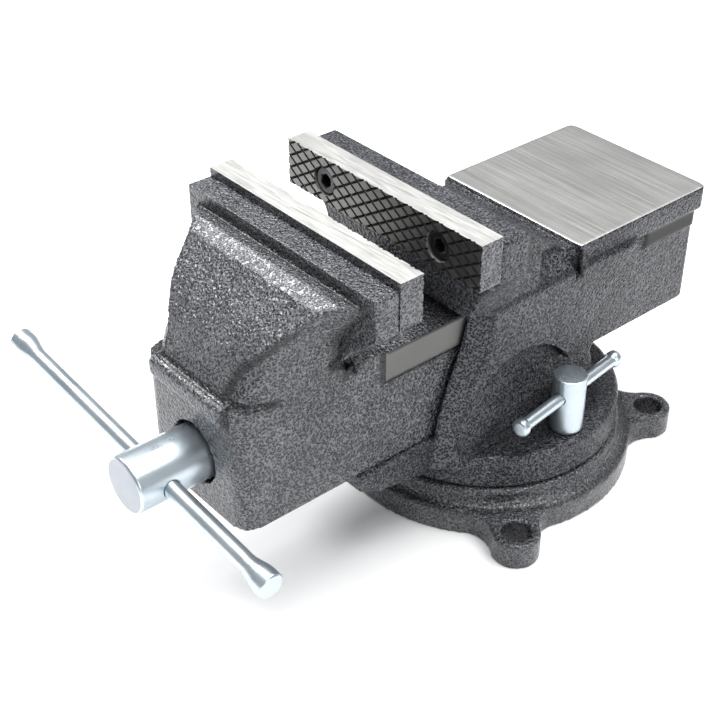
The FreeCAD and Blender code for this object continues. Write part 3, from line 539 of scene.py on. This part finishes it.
def speckle_group():
    """A thin chemical or plated finish: cloudy tint, fine pores and faint turning lines along Y."""
    group, start, end = shader_group(
        "thin finish", [("Vector", "NodeSocketVector", None),
                        ("Dark", "NodeSocketColor", (0.02, 0.02, 0.02, 1)),
                        ("Light", "NodeSocketColor", (0.06, 0.06, 0.06, 1))],
        [("Color", "NodeSocketColor"), ("Roughness", "NodeSocketFloat"), ("Height", "NodeSocketFloat")])
    cloud = noise(group, start.outputs["Vector"], 60, 4.0, 0.6)
    pores = noise(group, start.outputs["Vector"], 1500, 2.0)
    lines = group.nodes.new("ShaderNodeTexWave")
    lines.bands_direction = "Y"
    lines.inputs["Scale"].default_value = 700
    lines.inputs["Distortion"].default_value = 2.5
    lines.inputs["Detail"].default_value = 2.0
    group.links.new(start.outputs["Vector"], lines.inputs["Vector"])
    tone = ramp(group, cloud, [(0.22, 0.0), (0.78, 1.0)])
    tone = math_node(group, "MULTIPLY_ADD", pores, 0.35, math_node(group, "MULTIPLY", tone, 0.75), clamp=True)
    group.links.new(mixed(group, tone, start.outputs["Dark"], start.outputs["Light"]), end.inputs["Color"])
    group.links.new(ramp(group, cloud, [(0.3, 0.25), (0.7, 0.33)]), end.inputs["Roughness"])
    group.links.new(math_node(group, "MULTIPLY_ADD", pores, 0.5, lines.outputs["Fac"]), end.inputs["Height"])
    return group


THIN_FINISH = speckle_group()
black_oxide = metal("black oxide", THIN_FINISH, 0.2, 0.0001, metallic=0.8,
                    Dark=(0.012, 0.012, 0.013, 1), Light=(0.045, 0.045, 0.05, 1))
SCREW_HEAD_R = 6.5 * MM
SCREW_HEAD_TALL = 8.0 * MM


def join(parts):
    """Loose meshes from one bmesh per part into a single new mesh."""
    whole = bmesh.new()
    for part in parts:
        spare = bpy.data.meshes.new("spare")
        part.to_mesh(spare)
        part.free()
        whole.from_mesh(spare)
        bpy.data.meshes.remove(spare)
    return whole


def lathe(profile, start, along, steps):
    """A turned shape from (radius, distance) points, set along a direction."""
    shape = bmesh.new()
    turn = along.to_track_quat("Z", "Y").to_matrix()
    rings = []
    for radius, distance in profile:
        if radius < 1e-7:
            rings.append([shape.verts.new(start + turn @ Vector((0, 0, distance)))])
            continue
        ring = []
        for k in range(steps):
            angle = 2 * math.pi * k / steps
            ring.append(shape.verts.new(start + turn @ Vector((radius * math.cos(angle),
                                                               radius * math.sin(angle), distance))))
        rings.append(ring)
    for low, high in zip(rings, rings[1:]):
        for k in range(steps):
            after = (k + 1) % steps
            if len(low) == 1 and len(high) > 1:
                shape.faces.new((low[0], high[k], high[after]))
            elif len(high) == 1 and len(low) > 1:
                shape.faces.new((low[k], high[0], low[after]))
            elif len(low) > 1:
                shape.faces.new((low[k], high[k], high[after], low[after]))
    bmesh.ops.recalc_face_normals(shape, faces=shape.faces)
    return shape


def made(name, shape, body, nodes, material, sharp=35.0):
    """A finished piece from a bmesh: smooth, with sharp edges kept, riding on its body."""
    mesh = bpy.data.meshes.new(name)
    shape.to_mesh(mesh)
    shape.free()
    mesh.materials.append(material)
    for face in mesh.polygons:
        face.use_smooth = True
    piece = bpy.data.objects.new(name, mesh)
    bpy.context.collection.objects.link(piece)
    mesh.set_sharp_from_angle(angle=math.radians(sharp))
    even = piece.modifiers.new("even shading", "WEIGHTED_NORMAL")
    even.keep_sharp = True
    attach(piece, body)
    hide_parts(*nodes)
    return piece


def drilled(shape, radius, start, along, length, steps=40):
    """A bmesh with a round hole cut through it by an exact boolean."""
    body_mesh = bpy.data.meshes.new("blank")
    shape.to_mesh(body_mesh)
    shape.free()
    tool_mesh = bpy.data.meshes.new("drill")
    drill = lathe([(0, 0), (radius, 0), (radius, length), (0, length)], start, along, steps)
    drill.to_mesh(tool_mesh)
    drill.free()
    blank = bpy.data.objects.new("blank", body_mesh)
    tool = bpy.data.objects.new("drill", tool_mesh)
    for thing in (blank, tool):
        bpy.context.collection.objects.link(thing)
    cut = blank.modifiers.new("hole", "BOOLEAN")
    cut.operation = "DIFFERENCE"
    cut.solver = "EXACT"
    cut.object = tool
    depsgraph = bpy.context.evaluated_depsgraph_get()
    result = bpy.data.meshes.new_from_object(blank.evaluated_get(depsgraph))
    out = bmesh.new()
    out.from_mesh(result)
    for thing in (blank, tool):
        bpy.data.objects.remove(thing)
    return out


def socket_screw():
    """A cap screw at the origin, pointing up: knurled rim, bevelled edge, hexagonal socket."""
    steps = 48
    tall = SCREW_HEAD_TALL
    shape = bmesh.new()
    bevel = 0.7 * MM
    hex_r = 3.46 * MM
    shank_r = 4 * MM
    rings = []
    for radius, deep, kind in ((hex_r, 0.5 * tall, "hex"), (hex_r, 0.4 * MM, "hex"),
                               (hex_r * 1.12, 0, "round"), (SCREW_HEAD_R - bevel, 0, "round"),
                               (SCREW_HEAD_R, bevel, "knurl"), (SCREW_HEAD_R, tall, "knurl"),
                               (shank_r, tall, "round"), (shank_r, tall + 12 * MM, "round")):
        ring = []
        for k in range(steps):
            angle = 2 * math.pi * k / steps
            reach = radius
            if kind == "hex":
                side = (angle + math.pi / 6) % (math.pi / 3) - math.pi / 6
                reach = radius * math.cos(math.pi / 6) / math.cos(side)
            if kind == "knurl" and k % 2:
                reach = radius - 0.25 * MM
            ring.append(shape.verts.new((reach * math.cos(angle), reach * math.sin(angle), deep)))
        rings.append(ring)
    for low, high in zip(rings, rings[1:]):
        for k in range(steps):
            after = (k + 1) % steps
            shape.faces.new((low[k], high[k], high[after], low[after]))
    shape.faces.new(rings[0])
    shape.faces.new(rings[-1])
    bmesh.ops.recalc_face_normals(shape, faces=shape.faces)
    return shape


def growing_tree(name, inputs):
    """An empty Geometry Nodes tree with a geometry in and out and named inputs, and its two ends."""
    tree = bpy.data.node_groups.new(name, "GeometryNodeTree")
    tree.interface.new_socket(name="Geometry", in_out="INPUT", socket_type="NodeSocketGeometry")
    for label, kind in inputs + [("Finish", "NodeSocketMaterial")]:
        tree.interface.new_socket(name=label, in_out="INPUT", socket_type=kind)
    tree.interface.new_socket(name="Geometry", in_out="OUTPUT", socket_type="NodeSocketGeometry")
    return tree, tree.nodes.new("NodeGroupInput"), tree.nodes.new("NodeGroupOutput")


def finish_tree(tree, geometry, start, end):
    """The last two steps of every tree: real geometry, with its material on."""
    real = tree.nodes.new("GeometryNodeRealizeInstances")
    coat = tree.nodes.new("GeometryNodeSetMaterial")
    tree.links.new(geometry, real.inputs["Geometry"])
    tree.links.new(real.outputs["Geometry"], coat.inputs["Geometry"])
    tree.links.new(start.outputs["Finish"], coat.inputs["Material"])
    tree.links.new(coat.outputs["Geometry"], end.inputs["Geometry"])


def grown(name, points, tree, **values):
    """What a tree grows from a mesh of loose points, as a bmesh; its inputs are set by name first."""
    seed_mesh = bpy.data.meshes.new(name)
    seed_mesh.from_pydata(points, [], [])
    seed = bpy.data.objects.new(name, seed_mesh)
    bpy.context.collection.objects.link(seed)
    modifier = seed.modifiers.new(name, "NODES")
    modifier.node_group = tree
    for item in tree.interface.items_tree:
        if item.in_out == "INPUT" and item.name in values:
            modifier[item.identifier] = values[item.name]
    depsgraph = bpy.context.evaluated_depsgraph_get()
    mesh = bpy.data.meshes.new_from_object(seed.evaluated_get(depsgraph))
    seed.modifiers.clear()
    bpy.data.objects.remove(seed)
    shape = bmesh.new()
    shape.from_mesh(mesh)
    return shape


def hidden_object(name, shape):
    """A bmesh as an object that a tree can place, removed once the tree has grown."""
    mesh = bpy.data.meshes.new(name)
    shape.to_mesh(mesh)
    shape.free()
    thing = bpy.data.objects.new(name, mesh)
    bpy.context.collection.objects.link(thing)
    return thing


screws_tree, tree_start, tree_end = growing_tree("screws at points", [("Screw", "NodeSocketObject"),
                                                                    ("Facing", "NodeSocketVector")])
points = screws_tree.nodes.new("GeometryNodeMeshToPoints")
one_screw = screws_tree.nodes.new("GeometryNodeObjectInfo")
turned = screws_tree.nodes.new("FunctionNodeEulerToRotation")
planted = screws_tree.nodes.new("GeometryNodeInstanceOnPoints")
for source, target in ((tree_start.outputs["Geometry"], points.inputs["Mesh"]),
                       (tree_start.outputs["Screw"], one_screw.inputs["Object"]),
                       (tree_start.outputs["Facing"], turned.inputs["Euler"]),
                       (points.outputs["Points"], planted.inputs["Points"]),
                       (one_screw.outputs["Geometry"], planted.inputs["Instance"]),
                       (turned.outputs["Rotation"], planted.inputs["Rotation"])):
    screws_tree.links.new(source, target)
finish_tree(screws_tree, planted.outputs["Instances"], tree_start, tree_end)

screw_pattern = hidden_object("cap screw", socket_screw())
for node, body, facing in (("fixed_jaw_screws", "vise_body", -1), ("moving_jaw_screws", "moving_jaw", 1)):
    low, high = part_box(node)
    face = low.y if facing < 0 else high.y
    spots = [(x, face, (low.z + high.z) / 2) for x in (low.x + SCREW_HEAD_R, high.x - SCREW_HEAD_R)]
    screws = grown(node + "_spots", spots, screws_tree, Screw=screw_pattern,
                   Facing=(facing * math.pi / 2, 0.0, 0.0), Finish=black_oxide)
    made(node + "_socket_head", screws, body, [node], black_oxide)
bpy.data.objects.remove(screw_pattern)

# ---------------------------------------------------------------------------------------
# Lead screw: one bar of steel, zinc plated. Its round head is drilled across for the
# handle; a plain neck runs through the moving jaw, and a right-handed 4 mm thread follows.
zinc = metal("zinc plate", THIN_FINISH, 0.06, 0.00005, metallic=0.9,
             Dark=(0.40, 0.46, 0.51, 1), Light=(0.58, 0.645, 0.69, 1))
LEAD = 4.0 * MM
THREAD_DEPTH = 1.9 * MM
screw_low, screw_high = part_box("lead_screw")
axis_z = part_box("thrust_washer")[0].z / 2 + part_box("thrust_washer")[1].z / 2
head_r = 13.0 * MM
core_r = 10.0 * MM
head_length = 39.0 * MM
neck_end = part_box("split_pin")[1].y + 4 * MM
handle_tilt = math.radians(5.2)
handle_along = Vector((math.cos(handle_tilt), 0, -math.sin(handle_tilt)))
handle_y = screw_low.y + 15 * MM


def rounding(radius, curve, steps=4):
    """Points of a turned end whose edge is rounded off: from the face out to the side."""
    return [(radius - curve + curve * math.sin(math.pi / 2 * k / steps),
             curve - curve * math.cos(math.pi / 2 * k / steps)) for k in range(steps + 1)]


head_profile = [(0, 0)] + rounding(head_r, 1.6 * MM)
head_profile += [(head_r, 8 * MM), (head_r, 22 * MM), (head_r, head_length - 0.6 * MM),
                 (head_r - 0.6 * MM, head_length), (core_r, head_length),
                 (core_r, neck_end - screw_low.y), (0, neck_end - screw_low.y)]
head = lathe(head_profile, Vector((0, screw_low.y, axis_z)), Vector((0, 1, 0)), 72)
drill_start = Vector((0, handle_y, axis_z)) - handle_along * 30 * MM
head = drilled(head, 4.35 * MM, drill_start, handle_along, 60 * MM)

wound_tree, tree_start, tree_end = growing_tree("wound along a screw line", [
    ("Turns", "NodeSocketFloat"), ("Radius", "NodeSocketFloat"), ("Length", "NodeSocketFloat"),
    ("Section", "NodeSocketObject"), ("Start", "NodeSocketVector")])
line = wound_tree.nodes.new("GeometryNodeCurveSpiral")
line.inputs["Resolution"].default_value = 28
line.inputs["Reverse"].default_value = True
upright = wound_tree.nodes.new("GeometryNodeSetCurveNormal")
upright.mode = "Z_UP"
section = wound_tree.nodes.new("GeometryNodeObjectInfo")
section_line = wound_tree.nodes.new("GeometryNodeMeshToCurve")
swept = wound_tree.nodes.new("GeometryNodeCurveToMesh")
swept.inputs["Fill Caps"].default_value = True
laid = wound_tree.nodes.new("GeometryNodeTransform")
laid.inputs["Rotation"].default_value = (-math.pi / 2, 0, 0)
for source, target in ((tree_start.outputs["Turns"], line.inputs["Rotations"]),
                       (tree_start.outputs["Radius"], line.inputs["Start Radius"]),
                       (tree_start.outputs["Radius"], line.inputs["End Radius"]),
                       (tree_start.outputs["Length"], line.inputs["Height"]),
                       (tree_start.outputs["Section"], section.inputs["Object"]),
                       (line.outputs["Curve"], upright.inputs["Curve"]),
                       (section.outputs["Geometry"], section_line.inputs["Mesh"]),
                       (upright.outputs["Curve"], swept.inputs["Curve"]),
                       (section_line.outputs["Curve"], swept.inputs["Profile Curve"]),
                       (swept.outputs["Mesh"], laid.inputs["Geometry"]),
                       (tree_start.outputs["Start"], laid.inputs["Translation"])):
    wound_tree.links.new(source, target)
finish_tree(wound_tree, laid.outputs["Geometry"], tree_start, tree_end)


def wound(name, outline, radius, start_y, turns, pitch, finish):
    """A section swept round the screw's axis: outline points are (outward, along)."""
    loop = bmesh.new()
    corners = [loop.verts.new((out, along, 0)) for out, along in outline]
    for corner, after in zip(corners, corners[1:] + corners[:1]):
        loop.edges.new((corner, after))
    section_object = hidden_object(name + "_section", loop)
    shape = grown(name, [(0, 0, 0)], wound_tree, Turns=float(turns), Radius=radius, Length=turns * pitch,
                  Section=section_object, Start=(0.0, start_y, axis_z), Finish=finish)
    bpy.data.objects.remove(section_object)
    bmesh.ops.recalc_face_normals(shape, faces=shape.faces)
    return shape


root_r = core_r - THREAD_DEPTH
core = lathe([(0, 0), (root_r, 0), (root_r, screw_high.y - neck_end), (0, screw_high.y - neck_end)],
             Vector((0, neck_end, axis_z)), Vector((0, 1, 0)), 40)
thread_turns = int((screw_high.y - neck_end - LEAD) / LEAD)
sunk = 0.3 * MM
flat_half = 0.7 * MM
foot_half = 1.5 * MM
ridge_outline = [(-sunk, -foot_half), (THREAD_DEPTH, -flat_half),
                 (THREAD_DEPTH, flat_half), (-sunk, foot_half)]
ridge = wound("thread ridge", ridge_outline, root_r, neck_end + LEAD / 2, thread_turns, LEAD, zinc)
screw = made("lead_screw_turned", join([head, core, ridge]), "spindle", ["lead_screw"], zinc, 40)
# Painted shade: the head's end face takes a darker copy of the zinc.
end_face_shaded_zinc = metal("zinc darkened by painted shade on the end", THIN_FINISH, 0.06, 0.00005, metallic=0.9,
                   Dark=(0.20, 0.22, 0.245, 1), Light=(0.34, 0.36, 0.39, 1))
screw.data.materials.append(end_face_shaded_zinc)
for face in screw.data.polygons:
    if face.normal.y < -0.9 and face.center.y < screw_low.y + 1 * MM:
        face.material_index = 1

# ---------------------------------------------------------------------------------------
# Handle: a thin zinc plated bar that slides through the head. Both ends are swollen by
# forging, so that it can't fall out.
bar_r = 4.0 * MM
knob_r = 6.0 * MM
bar_low, bar_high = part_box("handle_bar")
half_bar = 94.5 * MM
bar_middle = (Vector(bar_low) + Vector(bar_high)) / 2


def swollen_end(reach, big, small, knob):
    """Half a bar's profile from its middle to its flat end: slender, then a smooth swelling."""
    straight = 5.0 * MM
    edge = 1.5 * MM
    edge_length = 1.6 * MM
    points = [(small, 0.0), (small, (reach - knob) * 0.5)]
    for k in range(13):
        t = k / 12
        ease_in = t * t * (3 - 2 * t)
        points.append((small + (big - small) * ease_in, reach - knob + (knob - straight) * t))
    for k in range(1, 7):
        t = k / 6 * math.pi / 2
        points.append((big - edge + edge * math.cos(t), reach - edge_length + edge_length * math.sin(t)))
    points.append((0, reach))
    return points


def sliding_bar(name, body, nodes, centre, along, half):
    """A bar with the same end on both sides of its middle."""
    mirror = [(r, -d) for r, d in reversed(half)]
    made(name, lathe(mirror[:-1] + half, centre, along, 36), body, nodes, zinc, 40)


sliding_bar("handle_bar_forged", "handle", ["handle_bar"], bar_middle, handle_along,
            swollen_end(half_bar, knob_r, bar_r, 17 * MM))

# ---------------------------------------------------------------------------------------
# Swivel locks: on each side a tall round nut on the lock bolt, rounded at its foot, with
# a thin bar through it whose ends are upset into short flat caps.
LOCK_NUT_R = 8.0 * MM
LOCK_BAR_R = 3.0 * MM
LOCK_CAP_R = 4.25 * MM
LOCK_LEAN = math.radians(7.4)
for side, word in ((1, "right"), (-1, "left")):
    nut_low, nut_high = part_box("lock_nut_" + word)
    foot = Vector(((nut_low.x + nut_high.x) / 2, 0, nut_low.z))
    tall = nut_high.z - nut_low.z
    profile = [(0, 0), (6.4 * MM, 0)]
    for k in range(1, 7):
        turn = math.pi / 2 * k / 6
        profile.append((6.4 * MM + 1.6 * MM * math.sin(turn), 2.2 * MM - 2.2 * MM * math.cos(turn)))
    profile += [(LOCK_NUT_R, tall - 0.7 * MM), (LOCK_NUT_R - 0.15 * MM, tall - 0.3 * MM),
                (LOCK_NUT_R - 0.7 * MM, tall), (0, tall)]
    bar_low, bar_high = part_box("lock_bar_" + word)
    centre = (Vector(bar_low) + Vector(bar_high)) / 2
    across = Vector((-side * math.sin(LOCK_LEAN), math.cos(LOCK_LEAN), 0))
    blank = lathe(profile, foot, Vector((0, 0, 1)), 56)
    nut = drilled(blank, 3.3 * MM, centre - across * 20 * MM, across, 40 * MM, 32)
    made("lock_nut_turned_" + word, nut, "lock_" + word, ["lock_nut_" + word], zinc, 40)
    half = 39.0 * MM    # the bar's middle to the flat of its cap
    cap = [(LOCK_BAR_R, 0.0), (LOCK_BAR_R, half - 5.5 * MM), (LOCK_BAR_R + 0.3 * MM, half - 4.6 * MM),
           (LOCK_CAP_R - 0.3 * MM, half - 3.9 * MM), (LOCK_CAP_R, half - 3.4 * MM),
           (LOCK_CAP_R, half - 1.4 * MM), (LOCK_CAP_R - 0.25 * MM, half - 0.7 * MM),
           (LOCK_CAP_R - 0.9 * MM, half - 0.2 * MM),
           (LOCK_CAP_R - 1.7 * MM, half), (0, half)]
    sliding_bar("lock_bar_upset_" + word, "lock_handle_" + word, ["lock_bar_" + word], centre, across, cap)

# ---------------------------------------------------------------------------------------
# Inner works: washers, bolts and the split pin are zinc plated, the spring is bright
# wire, and the lead screw's nut is raw iron, bolted down with a black screw.
raw_iron = metal("raw iron", THIN_FINISH, 0.6, 0.0004, metallic=0.7,
                 Dark=(0.07, 0.065, 0.06, 1), Light=(0.20, 0.19, 0.18, 1))
spring_wire = metal("spring wire", THIN_FINISH, 0.1, 0.0001, metallic=1.0,
                    Dark=(0.30, 0.30, 0.31, 1), Light=(0.50, 0.50, 0.50, 1))
spring_low, spring_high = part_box("screw_spring")
WIRE_R = 1.2 * MM
SPRING_TURNS = 5
wire_round = [(WIRE_R * math.cos(math.pi * k / 6), WIRE_R * math.sin(math.pi * k / 6)) for k in range(12)]
coil_r = (spring_high.x - spring_low.x) / 2 - WIRE_R
coil_pitch = (spring_high.y - spring_low.y - 2 * WIRE_R) / SPRING_TURNS
spring = wound("spring coil", wire_round, coil_r, spring_low.y + WIRE_R, SPRING_TURNS, coil_pitch,
               spring_wire)
made("screw_spring_wound", spring, "spindle", ["screw_spring"], spring_wire, 50)
finishes = {"thrust_washer": zinc, "spring_seat_washer": zinc, "retaining_washer": zinc, "split_pin": zinc,
            "lock_bolts": zinc, "nut_bolt_washer": zinc, "nut_bolt": black_oxide,
            "screw_nut": raw_iron}
for node, material in finishes.items():
    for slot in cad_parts[node].material_slots:
        slot.material = material
